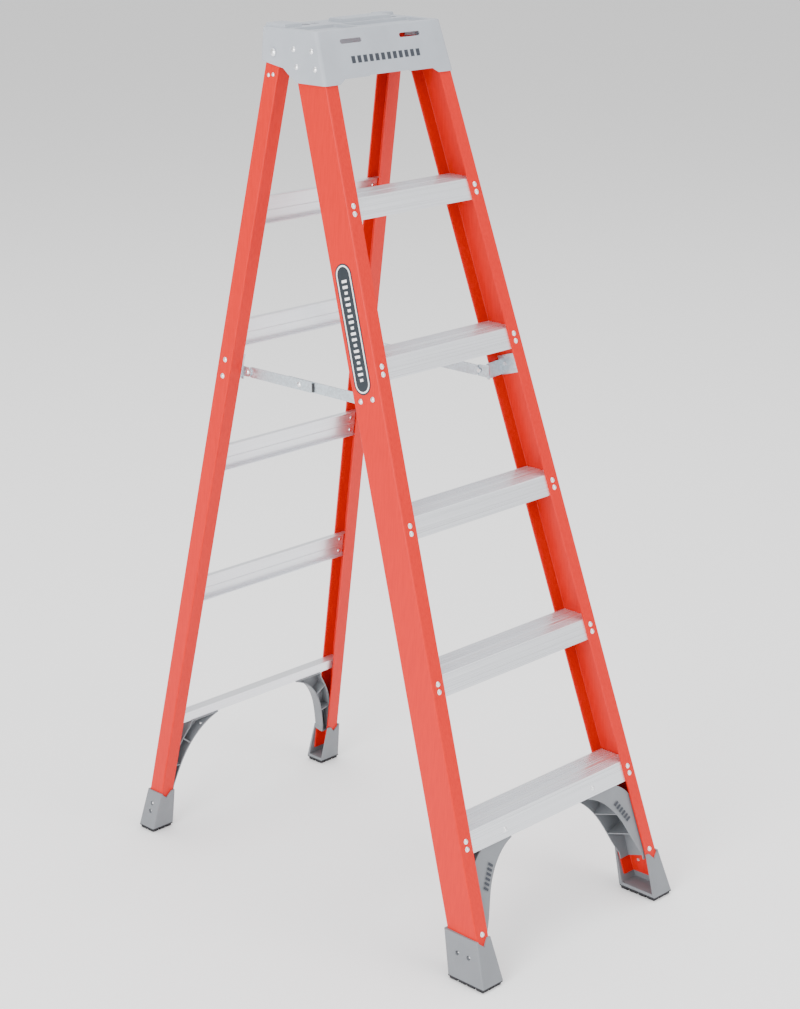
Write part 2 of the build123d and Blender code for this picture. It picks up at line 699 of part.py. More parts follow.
def make_front_bracket():
    """Bent bracket: it lies on the web and the rear flange, and its ear carries the front pivot."""
    skin = RAIL_WALL + SIDE_GAP
    inner = FRONT_WEB - skin
    level = SPREAD_FRONT[1]
    ear_x = INNER_ARM_X + ARM_GAP + BRACKET_WALL
    edge = rail_point(FRONT_RAIL, FLANGE, inner - BRACKET_WALL, level)
    ear_across = FRONT_RAIL.to_local_coords(Vector(-ear_x, edge.Y, edge.Z)).X
    web_span = (12, inner - CORNER_RELIEF)
    leg_span = (skin + CORNER_RELIEF, ear_across + LEG_OVERLAP)
    base = local_box(FRONT_RAIL, (skin, skin + BRACKET_WALL), web_span, 40, level + 16)
    leg = local_box(FRONT_RAIL, leg_span, (inner - BRACKET_WALL, inner), 30, level + 3)
    plate = side_plate(ear(SPREAD_FRONT, edge.Y + 1.5, 30, FRONT_EAR_R), ear_x, BRACKET_WALL)
    bracket = base + leg + plate
    bracket = bracket - side_cylinder(SPREAD_FRONT, PIVOT_R + HOLE_CLEARANCE, INNER_ARM_X - 5, ear_x + 5)
    return drill(bracket, [side_site(FRONT_RAIL, y, z) for y, z in FRONT_BRACKET_RIVETS])


def make_rear_bracket():
    """Bent bracket: it lies on the web and the front flange, and its ear carries the rear pivot."""
    skin = RAIL_WALL + SIDE_GAP
    level = SPREAD_REAR[1]
    ear_x = OUTER_ARM_X + ARM_GAP + BRACKET_WALL
    edge = rail_point(REAR_RAIL, FLANGE, skin + BRACKET_WALL, level)
    ear_across = REAR_RAIL.to_local_coords(Vector(-ear_x, edge.Y, edge.Z)).X
    skin_span = (skin, skin + BRACKET_WALL)
    leg_span = (skin + CORNER_RELIEF, ear_across + LEG_OVERLAP)
    base = local_box(REAR_RAIL, skin_span, (skin + CORNER_RELIEF, 30), 58, level + 11)
    leg = local_box(REAR_RAIL, leg_span, skin_span, 50, level + 11)
    plate = side_plate(ear(SPREAD_REAR, edge.Y - 1.5, 34, REAR_EAR_R), ear_x, BRACKET_WALL)
    bracket = base + leg + plate
    bracket = bracket - side_cylinder(SPREAD_REAR, PIVOT_R + HOLE_CLEARANCE, INNER_ARM_X - 5, ear_x + 5)
    return drill(bracket, [web_site(REAR_RAIL, d, z) for d, z in REAR_BRACKET_RIVETS])


def make_stop():
    """Dark plastic clip that caps the free front end of the rear arm."""
    middle = middle_pivot()
    y = middle[0] - ARM_LAP - STOP_WIDTH / 2 - 0.05
    outline = Pos(y, middle[1]) * Rectangle(STOP_WIDTH, ARM_WIDTH - 4)
    return side_plate(outline, OUTER_ARM_X, ARM_THICKNESS)


def stud(point, seat_x, depth, facing):
    """Domed half of a pivot: a head on its seat and a shank through one plate."""
    site = Plane(origin=(-seat_x, point[0], point[1]), z_dir=(-facing, 0, 0))
    dome = rivet(depth, PIVOT_R)
    keep = Pos(0, 0, -depth / 2 + 10) * Box(40, 40, depth + 20)
    return site * (dome & keep)


# ---------------------------------------------------------------- top cap

def cap_front_y(z):
    """The cap's front face is parallel to the front rails and just clear of them."""
    stretch = sqrt(1 + FRONT_LEAN ** 2)
    return FRONT_FACE_Y + FRONT_LEAN * z - (CAP_WALL + SIDE_GAP) * stretch


def cap_rear_y(z):
    return CAP_REAR_Y_TOP + CAP_REAR_SLOPE * (CAP_TOP_Z - z)


def cap_block(low_z, high_z, inset):
    """Tapered block of the cap's outline, moved inward."""
    spans = []
    for z in (low_z, high_z):
        half = cap_side_x(z) - inset
        spans.append(((-half, half), (cap_front_y(z) + inset * 1.05, cap_rear_y(z) - inset)))
    return tapered(low_z, spans[0][0], spans[0][1], high_z, spans[1][0], spans[1][1])


def island(x_span, y_span, top_z):
    """Raised block on the cap's top, narrower above, with soft edges."""
    low = CAP_TOP_Z - TRAY_DEPTH - 1
    high_x = (x_span[0] + 3, x_span[1] - 3)
    high_y = (y_span[0] + 3, y_span[1] - 3)
    block = tapered(low, x_span, y_span, top_z, high_x, high_y)
    return fillet(block.edges().group_by(Axis.Z)[-1], 2.0)


def make_cap():
    """Moulded shell over both sections: walls, a recessed top with raised blocks, and slots."""
    cap = cap_block(CAP_LOW_Z, CAP_TOP_Z, 0)
    uprights = cap.edges().filter_by(lambda e: abs(e.tangent_at(0.5).Z) > 0.5)
    cap = fillet(uprights, CAP_CORNER)
    cap = fillet(cap.edges().group_by(Axis.Z)[-1], CAP_EDGE)
    for x_span, y_span, top_z in CAP_ISLANDS:
        cap += island(x_span, y_span, top_z)
    deck_under = CAP_TOP_Z - TRAY_DEPTH - CAP_WALL
    inside = cap_block(CAP_LOW_Z - 1, deck_under, CAP_WALL)
    uprights = inside.edges().filter_by(lambda e: abs(e.tangent_at(0.5).Z) > 0.5)
    cap = cap - fillet(uprights, CAP_CORNER - CAP_WALL)
    for x_span, y_span in CAP_TRAYS:
        cap = cap - cap_tray(x_span, y_span)
    cap = cap - cap_underside() - cap_front_arch()
    for slot_x in SLOT_CENTRES:
        slot = Pos(slot_x, SLOT_Z) * SlotOverall(SLOT_LENGTH, SLOT_HEIGHT)
        cap = cap - Pos(0, cap_front_y(SLOT_Z), 0) * extrude(Plane.XZ * slot, 12, both=True)
    for x, y, radius in TOOL_HOLES:
        cap = cap - Pos(x, y, CAP_TOP_Z) * Cylinder(radius, 60)
    boss_tall = 3.2
    boss_x = cap_side_x(HINGE_Z) + CAP_BOSS_RISE - boss_tall / 2
    for side in (-1, 1):
        boss = Pos(side * boss_x, HINGE_Y, HINGE_Z) * Rot(0, 90, 0) * Cylinder(CAP_BOSS_R, boss_tall)
        cap += boss
    cap = cap - hinge_hole() - mirrored(hinge_hole())
    sites = cap_sites()
    return mirrored(drill(mirrored(drill(cap, sites)), sites))


def cap_tray(x_span, y_span):
    """Recess in the cap's top."""
    floor = CAP_TOP_Z - TRAY_DEPTH
    high_x = (x_span[0] - 1.5, x_span[1] + 1.5)
    high_y = (y_span[0] - 1.5, y_span[1] + 1.5)
    recess = tapered(floor, x_span, y_span, CAP_TOP_Z + 0.5, high_x, high_y)
    uprights = recess.edges().filter_by(lambda e: abs(e.tangent_at(0.5).Z) > 0.5)
    return fillet(uprights, 5.0)


def cap_underside():
    """Everything below the lower edge of the side walls, seen from the side."""
    outline = Polygon(
        (-60, CAP_LOW_Z - 20),
        (-60, 1661.5),
        (90, 1661.5),
        (107, 1670),
        (130, 1686),
        (182, 1694),
        (198, 1699),
        (260, 1699),
        (260, CAP_LOW_Z - 20),
        align=None,
    )
    return extrude(Plane.YZ * outline, 300, both=True)


def cap_front_arch():
    """The middle of the front wall stops higher than its two lobes."""
    outline = Polygon(
        (-136, 1661),
        (-120, 1670.5),
        (-56, 1670.5),
        (-52, 1672.5),
        (52, 1672.5),
        (56, 1670.5),
        (120, 1670.5),
        (136, 1661),
        (136, CAP_LOW_Z - 20),
        (-136, CAP_LOW_Z - 20),
        align=None,
    )
    return Pos(0, 20, 0) * extrude(Plane.XZ * outline, 40, both=True)


def make_hinge_pin():
    """Pivot of the rear section: head on the cap's boss, shank through the rail and its plate."""
    seat_x = cap_side_x(HINGE_Z) + CAP_BOSS_RISE
    site = side_point_plane(seat_x)
    gap = seat_x + rail_web_x(REAR_RAIL, HINGE_Y, HINGE_Z)
    grip = gap + RAIL_WALL + PLATE_WALL + 2.6
    return site * rivet(grip, HINGE_PIN_R, 7.5, 3.0, 6.5)


def side_point_plane(x):
    return Plane(origin=(-x, HINGE_Y, HINGE_Z), z_dir=(-1, 0, 0))


def rail_web_x(rail, y, z):
    """X of a web's outer face at a place seen from the side."""
    n, o = rail.x_dir, rail.origin
    return o.X - (n.Y * (y - o.Y) + n.Z * (z - o.Z)) / n.X


def make_hinge_plate():
    """Steel plate inside the rear rail's top that carries the pivot."""
    skin = RAIL_WALL + SIDE_GAP
    plate = local_box(REAR_RAIL, (skin, skin + PLATE_WALL), (6, 32), 78, 1692)
    plate = plate - hinge_hole()
    return drill(plate, [web_site(REAR_RAIL, d, z) for d, z in HINGE_PLATE_RIVETS], SMALL_SHANK_R)


def make_cap_rivets():
    rivets = []
    for site, (y, z) in zip(cap_sites(), CAP_FRONT_RIVETS):
        gap = cap_side_x(z) + rail_web_x(FRONT_RAIL, y, z)
        rivets.append(site * rivet(gap + RAIL_WALL + 0.35))
    return rivets


def make_label():
    """Stadium-shaped sticker on the front rail's web."""
    level = FRONT_RAIL.to_local_coords(rail_point(FRONT_RAIL, 0, LABEL_DEPTH, LABEL_Z)).Z
    outline = SlotOverall(LABEL_LENGTH, LABEL_WIDTH)
    face = FRONT_RAIL * Pos(-0.01, LABEL_DEPTH, level) * Rot(0, -90, 0) * outline
    return extrude(face, LABEL_THICKNESS)


# ---------------------------------------------------------------- all pieces

def placed(sites, solid):
    return [site * solid for site in sites]


def write_front_section():
    save("top_cap", [make_cap()])
    save_pair("front_{}_rail", [make_front_rail()])
    for n, top_z in enumerate(step_heights()):
        save(f"step_{n + 1}", [make_step(top_z)])
    front = (FRONT_RAIL, FRONT_WEB, FRONT_FLOOR_X, FRONT_FLOOR_Y, FRONT_SHOE_TOP_X, FRONT_SHOE_RIVETS)
    save_pair("front_{}_shoe", [make_shoe(*front)])
    save_pair("front_{}_tread_pad", [make_pad(FRONT_FLOOR_X, FRONT_FLOOR_Y)])
    save_pair("front_{}_knee_brace", [make_front_knee()])
    save_pair("{}_front_spreader_bracket", [make_front_bracket()])
    save_pair("{}_rail_label", [make_label()])
    save("cap_rivets", both_sides(make_cap_rivets()))
    step_grip = RAIL_WALL + SIDE_GAP + STEP_WALL
    step_rivets = placed(step_front_sites() + step_back_sites(), rivet(step_grip + 0.1))
    save("step_rivets", both_sides(step_rivets))
    save("front_shoe_rivets", both_sides(shoe_rivets(FRONT_RAIL, FRONT_SHOE_RIVETS)))
    knee = [
        knee_rail_site() * rivet(FRONT_KNEE_DEPTHS[0] + KNEE_WALL),
        knee_tread_site() * rivet(FRONT_KNEE_DEPTHS[0] - RAIL_WALL - SIDE_GAP + KNEE_WALL + 0.1),
        knee_skirt_site() * rivet(FRONT_WEB - RAIL_WALL - SIDE_GAP - FRONT_KNEE_DEPTHS[1] + KNEE_WALL + 0.1),
    ]
    save("front_knee_brace_rivets", both_sides(knee))
    bracket_grip = RAIL_WALL + SIDE_GAP + BRACKET_WALL + 0.05
    sites = [side_site(FRONT_RAIL, y, z) for y, z in FRONT_BRACKET_RIVETS]
    save("front_bracket_rivets", both_sides(placed(sites, rivet(bracket_grip))))
    save("hinge_pins", both_sides([make_hinge_pin()]))
    seat = INNER_ARM_X + ARM_GAP + BRACKET_WALL
    pivot = rivet(BRACKET_WALL + ARM_GAP + ARM_THICKNESS, PIVOT_R)
    save("front_spreader_pivots", both_sides([pivot_site(SPREAD_FRONT, seat) * pivot]))


def pivot_site(point, x):
    return Plane(origin=(-x, point[0], point[1]), z_dir=(-1, 0, 0))


def shoe_rivets(rail, places):
    """Small rivets from the seat in the shoe's wall to the inside of the web."""
    grip = SIDE_GAP + SHOE_SIDE * 0.7 + RAIL_WALL
    return placed([shoe_site(web_site(rail, d, z)) for d, z in places], small_rivet(grip))


def write_rear_section():
    save_pair("rear_{}_rail", [make_rear_rail()])
    for n, (top_z, tall) in enumerate(zip(REAR_BRACE_TOPS, REAR_BRACE_HEIGHTS)):
        save(f"rear_brace_{n + 1}", [make_rear_brace(top_z, tall)])
    rear = (REAR_RAIL, REAR_WEB, REAR_FLOOR_X, REAR_FLOOR_Y, REAR_SHOE_TOP_X, REAR_SHOE_RIVETS)
    save_pair("rear_{}_shoe", [make_shoe(*rear)])
    save_pair("rear_{}_tread_pad", [make_pad(REAR_FLOOR_X, REAR_FLOOR_Y)])
    save_pair("rear_{}_knee_brace", [make_rear_knee()])
    save_pair("{}_rear_spreader_bracket", [make_rear_bracket()])
    save_pair("{}_hinge_plate", [make_hinge_plate()])
    brace_grip = RAIL_WALL + SIDE_GAP + BRACE_WALL + 0.1
    save("rear_brace_rivets", both_sides(placed(brace_sites(), small_rivet(brace_grip))))
    knee_grip = KNEE_WALL + SIDE_GAP + BRACE_WALL
    save("rear_knee_brace_rivets", both_sides([rear_knee_site() * rivet(knee_grip)]))
    save("rear_shoe_rivets", both_sides(shoe_rivets(REAR_RAIL, REAR_SHOE_RIVETS)))
    sites = [web_site(REAR_RAIL, d, z) for d, z in REAR_BRACKET_RIVETS]
    bracket_grip = RAIL_WALL + SIDE_GAP + BRACKET_WALL + 0.05
    save("rear_bracket_rivets", both_sides(placed(sites, rivet(bracket_grip))))
    sites = [web_site(REAR_RAIL, d, z) for d, z in HINGE_PLATE_RIVETS]
    plate_grip = RAIL_WALL + SIDE_GAP + PLATE_WALL + 0.05
    save("hinge_plate_rivets", both_sides(placed(sites, small_rivet(plate_grip))))
    seat = OUTER_ARM_X + ARM_GAP + BRACKET_WALL
    pivot = stud(SPREAD_REAR, seat, BRACKET_WALL + ARM_GAP + ARM_THICKNESS, 1)
    save("rear_spreader_pivots", both_sides([pivot]))


def write_spreaders():
    middle = middle_pivot()
    save_pair("{}_spreader_front_arm", [arm(SPREAD_FRONT, middle, ARM_LAP, INNER_ARM_X)])
    save_pair("{}_spreader_rear_arm", [arm(SPREAD_REAR, middle, ARM_LAP, OUTER_ARM_X)])
    save_pair("{}_spreader_stop", [make_stop()])
    head = stud(middle, OUTER_ARM_X, ARM_THICKNESS, 1)
    tail = stud(middle, INNER_ARM_X - ARM_THICKNESS, ARM_THICKNESS, -1)
    save_pair("{}_middle_pivot_head", [head])
    save_pair("{}_middle_pivot_tail", [tail])


os.makedirs("parts", exist_ok=True)
write_front_section()
write_rear_section()
write_spreaders()
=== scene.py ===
"""Looks of the platform step ladder: materials, printed marks, studio and camera."""
import json
from math import cos, pi, sin

import bmesh
import bpy
from mathutils import Matrix, Vector


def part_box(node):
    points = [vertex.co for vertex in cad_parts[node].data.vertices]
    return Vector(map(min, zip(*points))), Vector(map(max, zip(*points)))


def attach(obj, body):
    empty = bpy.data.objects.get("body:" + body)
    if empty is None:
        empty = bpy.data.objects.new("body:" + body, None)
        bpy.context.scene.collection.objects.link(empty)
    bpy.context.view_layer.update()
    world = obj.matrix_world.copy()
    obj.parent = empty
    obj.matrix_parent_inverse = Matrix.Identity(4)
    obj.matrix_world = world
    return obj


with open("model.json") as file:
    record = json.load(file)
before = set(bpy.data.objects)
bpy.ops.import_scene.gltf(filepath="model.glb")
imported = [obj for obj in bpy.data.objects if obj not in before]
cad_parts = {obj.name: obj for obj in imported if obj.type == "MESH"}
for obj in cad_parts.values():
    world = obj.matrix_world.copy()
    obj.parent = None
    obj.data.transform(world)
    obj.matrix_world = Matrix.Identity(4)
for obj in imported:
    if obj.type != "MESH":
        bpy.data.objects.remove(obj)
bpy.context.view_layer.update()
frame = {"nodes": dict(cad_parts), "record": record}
NODES = frame["nodes"]

# Lie of the front section, as the CAD has it: run per metre of height
FRONT_LEAN = 0.3199
FRONT_TAPER = 0.0652

# Printed layers stand this far above what they are printed on, and are this thick
PRINT_LIFT = 0.00006
PRINT_THICKNESS = 0.00012

FIBREGLASS = (0.62, 0.007, 0.002)
FIBREGLASS_DEEP = (0.55, 0.005, 0.001)
CAP_GREY = (0.36, 0.385, 0.425)
SHOE_GREY = (0.175, 0.185, 0.20)
ALUMINIUM = (0.86, 0.88, 0.92)
GALVANISED = (0.58, 0.65, 0.70)
RIVET_METAL = (0.86, 0.87, 0.89)
RUBBER = (0.018, 0.018, 0.021)
INK_DARK = (0.008, 0.015, 0.022)
INK_WHITE = (0.86, 0.87, 0.88)
INK_GREY = (0.022, 0.027, 0.038)
# Near-black of the spreader stop: painted shade, standing in for the shadow in the slit at the end of the
# rear spreader arm
STOP_SLIT_SHADE = (0.02, 0.02, 0.022)

# Mill-finish aluminium scatters part of its light like a matt surface
EXTRUSION_METALLIC = 0.8


# ---------------------------------------------------------------- materials

class Shader:
    """A node material under construction."""

    def __init__(self, name, colour, roughness, metallic=0.0):
        self.material = bpy.data.materials.new(name)
        self.material.use_nodes = True
        self.nodes = self.material.node_tree.nodes
        self.links = self.material.node_tree.links
        self.bsdf = self.nodes["Principled BSDF"]
        self.bsdf.inputs["Base Color"].default_value = (*colour, 1)
        self.bsdf.inputs["Roughness"].default_value = roughness
        self.bsdf.inputs["Metallic"].default_value = metallic
        self.coordinates = self.nodes.new("ShaderNodeTexCoord").outputs["Object"]
        self.normal = None

    def stretched(self, scale, turn=(0, 0, 0)):
        """Object coordinates, turned and then scaled along each axis."""
        mapping = self.nodes.new("ShaderNodeMapping")
        mapping.inputs["Scale"].default_value = scale
        mapping.inputs["Rotation"].default_value = turn
        self.links.new(self.coordinates, mapping.inputs["Vector"])
        return mapping.outputs["Vector"]

    def noise(self, vector, scale, detail=3.0):
        node = self.nodes.new("ShaderNodeTexNoise")
        node.inputs["Scale"].default_value = scale
        node.inputs["Detail"].default_value = detail
        self.links.new(vector, node.inputs["Vector"])
        return node.outputs["Fac"]

    def cells(self, vector, scale):
        node = self.nodes.new("ShaderNodeTexVoronoi")
        node.inputs["Scale"].default_value = scale
        self.links.new(vector, node.inputs["Vector"])
        return node.outputs["Color"]

    def ramp(self, factor, low, high, start=0.3, end=0.7):
        node = self.nodes.new("ShaderNodeValToRGB")
        node.color_ramp.elements[0].position = start
        node.color_ramp.elements[0].color = (*low, 1)
        node.color_ramp.elements[1].position = end
        node.color_ramp.elements[1].color = (*high, 1)
        self.links.new(factor, node.inputs["Fac"])
        return node.outputs["Color"]

    def colour(self, factor, low, high, start=0.3, end=0.7):
        self.links.new(self.ramp(factor, low, high, start, end), self.bsdf.inputs["Base Color"])

    def roughness(self, factor, low, high):
        node = self.nodes.new("ShaderNodeMapRange")
        node.inputs["From Min"].default_value = 0.3
        node.inputs["From Max"].default_value = 0.7
        node.inputs["To Min"].default_value = low
        node.inputs["To Max"].default_value = high
        self.links.new(factor, node.inputs["Value"])
        self.links.new(node.outputs["Result"], self.bsdf.inputs["Roughness"])

    def bump(self, height, strength, distance):
        node = self.nodes.new("ShaderNodeBump")
        node.inputs["Strength"].default_value = strength
        node.inputs["Distance"].default_value = distance
        self.links.new(height, node.inputs["Height"])
        if self.normal is not None:
            self.links.new(self.normal, node.inputs["Normal"])
        self.normal = node.outputs["Normal"]
        self.links.new(self.normal, self.bsdf.inputs["Normal"])


def tint(colour, factor):
    return tuple(min(1.0, c * factor) for c in colour)


def fibreglass():
    """Pultruded channel: glass fibres run along the rail under a satin resin skin."""
    shader = Shader("rail_fibreglass", FIBREGLASS, 0.42)
    shader.bsdf.inputs["Coat Weight"].default_value = 0.05
    shader.bsdf.inputs["Coat Roughness"].default_value = 0.3
    shader.bsdf.inputs["Specular IOR Level"].default_value = 0.22
    fibres = shader.noise(shader.stretched((420, 420, 6)), 1.0, 4.0)
    shader.colour(fibres, FIBREGLASS_DEEP, FIBREGLASS, 0.32, 0.62)
    shader.roughness(fibres, 0.36, 0.48)
    shader.bump(fibres, 0.12, 0.0002)
    weave = shader.noise(shader.stretched((1, 1, 1)), 1400, 2.0)
    shader.bump(weave, 0.05, 0.00008)
    return shader.material


def moulded(name, colour, roughness, grain):
    """Moulded plastic with a fine spark-eroded grain and slight clouding."""
    shader = Shader(name, colour, roughness)
    shader.bsdf.inputs["Specular IOR Level"].default_value = 0.4
    clouds = shader.noise(shader.stretched((1, 1, 1)), 14, 3.0)
    shader.colour(clouds, tint(colour, 0.94), tint(colour, 1.05))
    shader.roughness(shader.noise(shader.stretched((1, 1, 1)), 60, 2.0), roughness - 0.05, roughness + 0.05)
    shader.bump(shader.noise(shader.stretched((1, 1, 1)), grain, 2.0), 0.18, 0.00015)
    return shader.material


def extruded_metal(name, colour, roughness):
    """Mill-finish extrusion: die lines run along the width of the ladder."""
    shader = Shader(name, colour, roughness, EXTRUSION_METALLIC)
    lines = shader.noise(shader.stretched((1.5, 900, 900)), 1.0, 3.0)
    shader.colour(lines, tint(colour, 0.93), tint(colour, 1.06))
    shader.roughness(lines, roughness - 0.06, roughness + 0.08)
    shader.bump(lines, 0.1, 0.0001)
    smudges = shader.noise(shader.stretched((1, 1, 1)), 22, 2.0)
    shader.bump(smudges, 0.05, 0.0004)
    return shader.material


def galvanised():
    """Zinc-plated sheet with faint spangles."""
    shader = Shader("spreader_steel", GALVANISED, 0.4, 0.9)
    spangles = shader.cells(shader.stretched((1, 1, 1)), 260)
    shader.colour(spangles, tint(GALVANISED, 0.9), tint(GALVANISED, 1.1), 0.2, 0.8)
    shader.roughness(spangles, 0.32, 0.46)
    shader.bump(shader.noise(shader.stretched((1, 1, 1)), 700, 2.0), 0.06, 0.0001)
    return shader.material


def rivet_metal():
    shader = Shader("rivet_steel", RIVET_METAL, 0.3, 1.0)
    wear = shader.noise(shader.stretched((1, 1, 1)), 500, 3.0)
    shader.colour(wear, tint(RIVET_METAL, 0.92), tint(RIVET_METAL, 1.05))
    shader.roughness(wear, 0.26, 0.38)
    return shader.material


def print_ink(name, colour, roughness=0.35):
    shader = Shader(name, colour, roughness)
    grain = shader.noise(shader.stretched((1, 1, 1)), 180, 2.0)
    shader.colour(grain, tint(colour, 0.94), tint(colour, 1.04))
    shader.roughness(grain, roughness - 0.04, roughness + 0.06)
    return shader.material


MATERIALS = {
    "rail_fibreglass": fibreglass(),
    "cap_plastic": moulded("cap_plastic", CAP_GREY, 0.5, 1500),
    "shoe_plastic": moulded("shoe_plastic", SHOE_GREY, 0.5, 1300),
    "pad_rubber": moulded("pad_rubber", RUBBER, 0.75, 900),
    # The stop's near-black is painted shade for the dark slit at the rear spreader arm's end
    "stop_plastic": moulded("stop_plastic", STOP_SLIT_SHADE, 0.45, 1500),
    "tread_aluminium": extruded_metal("tread_aluminium", ALUMINIUM, 0.3),
    "brace_aluminium": extruded_metal("brace_aluminium", tint(ALUMINIUM, 0.98), 0.34),
    "spreader_steel": galvanised(),
    "rivet_steel": rivet_metal(),
    "label_vinyl": print_ink("label_vinyl", INK_DARK),
}
INK = {
    "white": print_ink("ink_white", INK_WHITE),
    "dark": print_ink("ink_dark", INK_GREY, 0.45),
}

BEVEL_SEGMENTS = 2
BEVEL_ANGLE = 0.6

# Edge rounding of the CAD nodes by material slot, in metres
EDGE_ROUND = {
    "shoe_plastic": 0.0012,
    "cap_plastic": 0.0008,
    "stop_plastic": 0.0005,
    "rail_fibreglass": 0.0005,
    "tread_aluminium": 0.00025,
    "brace_aluminium": 0.0004,
    "spreader_steel": 0.0004,
}


def soften(obj, width):
    """Round the hard edges a little and keep the flats flat."""
    bevel = obj.modifiers.new("edge_round", "BEVEL")
    bevel.width = width
    bevel.segments = BEVEL_SEGMENTS
    bevel.limit_method = "ANGLE"
    bevel.angle_limit = BEVEL_ANGLE
    bevel.harden_normals = False
    weld = obj.modifiers.new("even_normals", "WEIGHTED_NORMAL")
    weld.keep_sharp = True


def finish_cad_nodes():
    for entry in frame["record"]["subparts"]:
        obj = NODES[entry["node"]]
        slot = entry["material_slot"]
        for place in obj.material_slots:
            place.material = MATERIALS[slot]
        if slot in EDGE_ROUND:
            soften(obj, EDGE_ROUND[slot])


# ---------------------------------------------------------------- printed marks

# Rail label: pill outlines as length and width, then its column of bars
LABEL_STAND_OFF = 0.00018
LABEL_BORDER = (0.247, 0.039)
LABEL_FIELD = (0.241, 0.033)
LABEL_BAR_COUNT = 18
LABEL_BAR_FOOT = -0.098
LABEL_BAR_PITCH = 0.0112
LABEL_BAR_WIDE = 0.0135
LABEL_BAR_NARROW = 0.0085
LABEL_BAR_HEIGHT = 0.0052

# Row of bars on the cap's front wall
CAP_BAR_COUNT = 12
CAP_BAR_PITCH = 0.016
CAP_BAR_SIZE = (0.010, 0.014)
CAP_BAR_LEVEL = 1.7035
# The span of the cap's front wall in which its forward-most point is sought
CAP_FACE_HALF_X = 0.11
CAP_FACE_MAX_Y = 0.06
CAP_FACE_LEVELS = (1.66, 1.76)

# Row of strokes on each front knee brace, slanting down and outwards
KNEE_MARK_X = 0.204
KNEE_MARK_RISE = 0.130
KNEE_STROKE_RUN = 0.55
KNEE_STROKE_DROP = 0.83
KNEE_STROKE_COUNT = 6
KNEE_STROKE_PITCH = 0.0095
KNEE_STROKE_SIZE = (0.0052, 0.013)
KNEE_STROKE_SLANT = 0.001


def face_frame(origin, right, up):
    """Matrix of a flat face: X to the reader's right, Y up the face, Z out of it."""
    right = Vector(right).normalized()
    up = Vector(up)
    up = (up - right * up.dot(right)).normalized()
    out = right.cross(up)
    turn = Matrix((right, up, out)).transposed().to_4x4()
    return Matrix.Translation(origin) @ turn


def stadium(length, width, steps=20):
    """Outline with half-round ends, long way up the face."""
    radius = width / 2
    points = []
    for end in (0, 1):
        for n in range(steps + 1):
            angle = pi * (end + n / steps)
            rise = (length / 2 - radius) * (1 if end == 0 else -1)
            points.append((radius * cos(angle), rise + radius * sin(angle)))
    return points


def bar(x, y, width, height, slant=0.0):
    """Four corners of a bar, its top pushed sideways by the slant."""
    a, b = width / 2, height / 2
    return [(x - a - slant, y - b), (x + a - slant, y - b), (x + a + slant, y + b), (x - a + slant, y + b)]


def print_layer(name, outlines, place, layer, ink, body):
    """Thin raised print: each outline becomes a low solid on the face."""
    mesh = bpy.data.meshes.new(name)
    shape = bmesh.new()
    base = PRINT_LIFT + layer * PRINT_THICKNESS
    for outline in outlines:
        low = [shape.verts.new((x, y, base)) for x, y in outline]
        high = [shape.verts.new((x, y, base + PRINT_THICKNESS)) for x, y in outline]
        shape.faces.new(list(reversed(low)))
        shape.faces.new(high)
        for n in range(len(outline)):
            after = (n + 1) % len(outline)
            shape.faces.new((low[n], low[after], high[after], high[n]))
    shape.transform(place)
    bmesh.ops.recalc_face_normals(shape, faces=shape.faces)
    shape.to_mesh(mesh)
    shape.free()
    obj = bpy.data.objects.new(name, mesh)
    bpy.context.scene.collection.objects.link(obj)
    mesh.materials.append(INK[ink] if ink in INK else MATERIALS[ink])
    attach(obj, body)
    return obj


def label_marks(side):
    """White border, dark field and plain white bars on a rail label."""
    name = "left" if side < 0 else "right"
    low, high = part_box(f"{name}_rail_label")
    middle = (Vector(low) + Vector(high)) / 2
    up = Vector((-side * FRONT_TAPER, FRONT_LEAN, 1))
    right = Vector((0, side, -side * FRONT_LEAN))
    place = face_frame(middle, right, up)
    outer = place.to_3x3() @ Vector((0, 0, 1)) * LABEL_STAND_OFF
    place = Matrix.Translation(outer) @ place
    bars = []
    for n in range(LABEL_BAR_COUNT):
        wide = LABEL_BAR_WIDE if n % 3 else LABEL_BAR_NARROW
        bars.append(bar(0, LABEL_BAR_FOOT + n * LABEL_BAR_PITCH, wide, LABEL_BAR_HEIGHT))
    layers = [
        ("border", [stadium(*LABEL_BORDER)], "white"),
        ("field", [stadium(*LABEL_FIELD)], "label_vinyl"),
        ("bars", bars, "white"),
    ]
    for layer, (part, outlines, ink) in enumerate(layers):
        print_layer(f"{name}_label_{part}", outlines, place, layer, ink, "front_section")


def cap_marks():
    """One plain, evenly spaced row of dark bars on the cap's front wall."""
    y_front = CAP_FACE_Y + FRONT_LEAN * (CAP_BAR_LEVEL - CAP_FACE_Z)
    place = face_frame((0, y_front, CAP_BAR_LEVEL), (1, 0, 0), (0, FRONT_LEAN, 1))
    middle = (CAP_BAR_COUNT - 1) / 2
    row = [bar((n - middle) * CAP_BAR_PITCH, 0, *CAP_BAR_SIZE) for n in range(CAP_BAR_COUNT)]
    print_layer("cap_front_bars", row, place, 0, "dark", "front_section")


def knee_marks(side):
    """A short row of plain strokes on the front wall of a front knee brace."""
    name = "left" if side < 0 else "right"
    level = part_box(f"front_{name}_knee_brace")[0][2] + KNEE_MARK_RISE
    near = [v.co for v in NODES[f"front_{name}_knee_brace"].data.vertices]
    front = min(near, key=lambda co: co.y - FRONT_LEAN * co.z)
    along = Vector((side * KNEE_STROKE_RUN, -KNEE_STROKE_DROP * FRONT_LEAN, -KNEE_STROKE_DROP))
    across = Vector((0, FRONT_LEAN, 1))
    origin = (side * KNEE_MARK_X, front.y + FRONT_LEAN * (level - front.z), level)
    right = along if side > 0 else -along
    place = face_frame(origin, right, across)
    middle = (KNEE_STROKE_COUNT - 1) / 2
    strokes = []
    for n in range(KNEE_STROKE_COUNT):
        strokes.append(bar((n - middle) * KNEE_STROKE_PITCH, 0, *KNEE_STROKE_SIZE, KNEE_STROKE_SLANT))
    print_layer(f"{name}_knee_strokes", strokes, place, 0, "dark", "front_section")


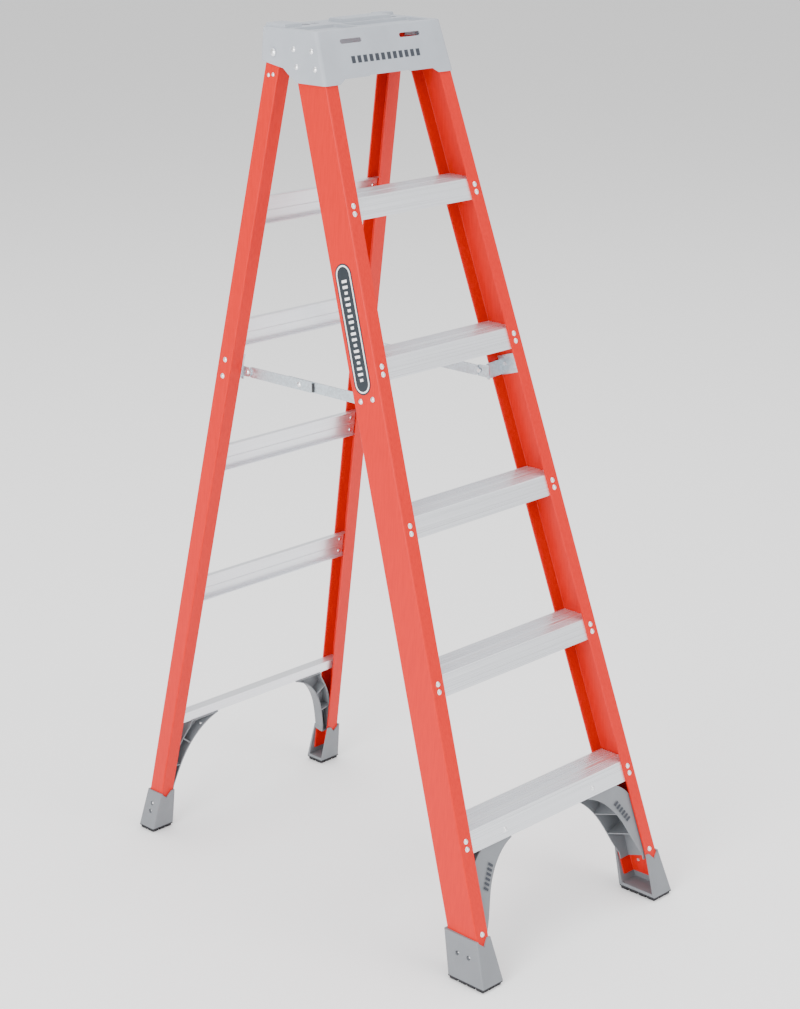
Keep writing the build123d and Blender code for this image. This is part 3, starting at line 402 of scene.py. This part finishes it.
def front_face_line():
    """Y and Z of the forward-most vertex of the cap's front wall, measured along its lean."""
    bottom, top = CAP_FACE_LEVELS
    near = []
    for vertex in NODES["top_cap"].data.vertices:
        x, y, z = vertex.co
        if abs(x) < CAP_FACE_HALF_X and y < CAP_FACE_MAX_Y and bottom < z < top:
            near.append(vertex.co)
    point = min(near, key=lambda co: co.y - FRONT_LEAN * co.z)
    return point.y, point.z


CAP_FACE_Y, CAP_FACE_Z = front_face_line()


# ---------------------------------------------------------------- studio and camera

CAMERA_PLACE = (-3.15045, -3.09616, 2.22321)
CAMERA_FORWARD = (0.68011, 0.66597, -0.30648)
SENSOR = 36.0
FOCAL_LENGTH = 81.14
CLIP_END = 60
FLOOR_HALF = 60.0
FLOOR_PAPER = (0.98, 0.98, 0.98)
WORLD_STRENGTH = 1.0
LIGHT_TARGET = (0, 0, 0.9)

# Area lights: name, place, size and power
LIGHTS = (
    ("key_light", (-5.0, -1.2, 2.2), 3.0, 300),
    ("front_light", (0.9, -5.0, 2.8), 3.0, 130),
    ("top_light", (0.5, 0.5, 7.0), 8.0, 520),
)


def aim(obj, forward):
    obj.rotation_euler = Vector(forward).to_track_quat("-Z", "Y").to_euler()


def add_camera():
    data = bpy.data.cameras.new("camera")
    data.sensor_width = SENSOR
    data.sensor_fit = "AUTO"
    data.lens = FOCAL_LENGTH
    data.clip_end = CLIP_END
    camera = bpy.data.objects.new("camera", data)
    camera.location = CAMERA_PLACE
    aim(camera, CAMERA_FORWARD)
    bpy.context.scene.collection.objects.link(camera)
    bpy.context.scene.camera = camera


def add_area(name, place, size, power):
    data = bpy.data.lights.new(name, "AREA")
    data.size = size
    data.energy = power
    lamp = bpy.data.objects.new(name, data)
    lamp.location = place
    aim(lamp, Vector(LIGHT_TARGET) - Vector(place))
    bpy.context.scene.collection.objects.link(lamp)


def add_floor():
    half = FLOOR_HALF
    mesh = bpy.data.meshes.new("floor")
    corners = [(-half, -half, 0), (half, -half, 0), (half, half, 0), (-half, half, 0)]
    mesh.from_pydata(corners, [], [(0, 1, 2, 3)])
    floor = bpy.data.objects.new("floor", mesh)
    bpy.context.scene.collection.objects.link(floor)
    shader = Shader("floor_paper", FLOOR_PAPER, 0.9)
    paper = shader.noise(shader.stretched((1, 1, 1)), 90, 2.0)
    shader.bump(paper, 0.04, 0.0005)
    mesh.materials.append(shader.material)


def add_studio():
    world = bpy.data.worlds.new("studio")
    world.use_nodes = True
    background = world.node_tree.nodes["Background"]
    background.inputs["Color"].default_value = (1, 1, 1, 1)
    background.inputs["Strength"].default_value = WORLD_STRENGTH
    bpy.context.scene.world = world
    for light in LIGHTS:
        add_area(*light)


finish_cad_nodes()
for side in (-1, 1):
    label_marks(side)
    knee_marks(side)
cap_marks()
add_floor()
add_studio()
add_camera()
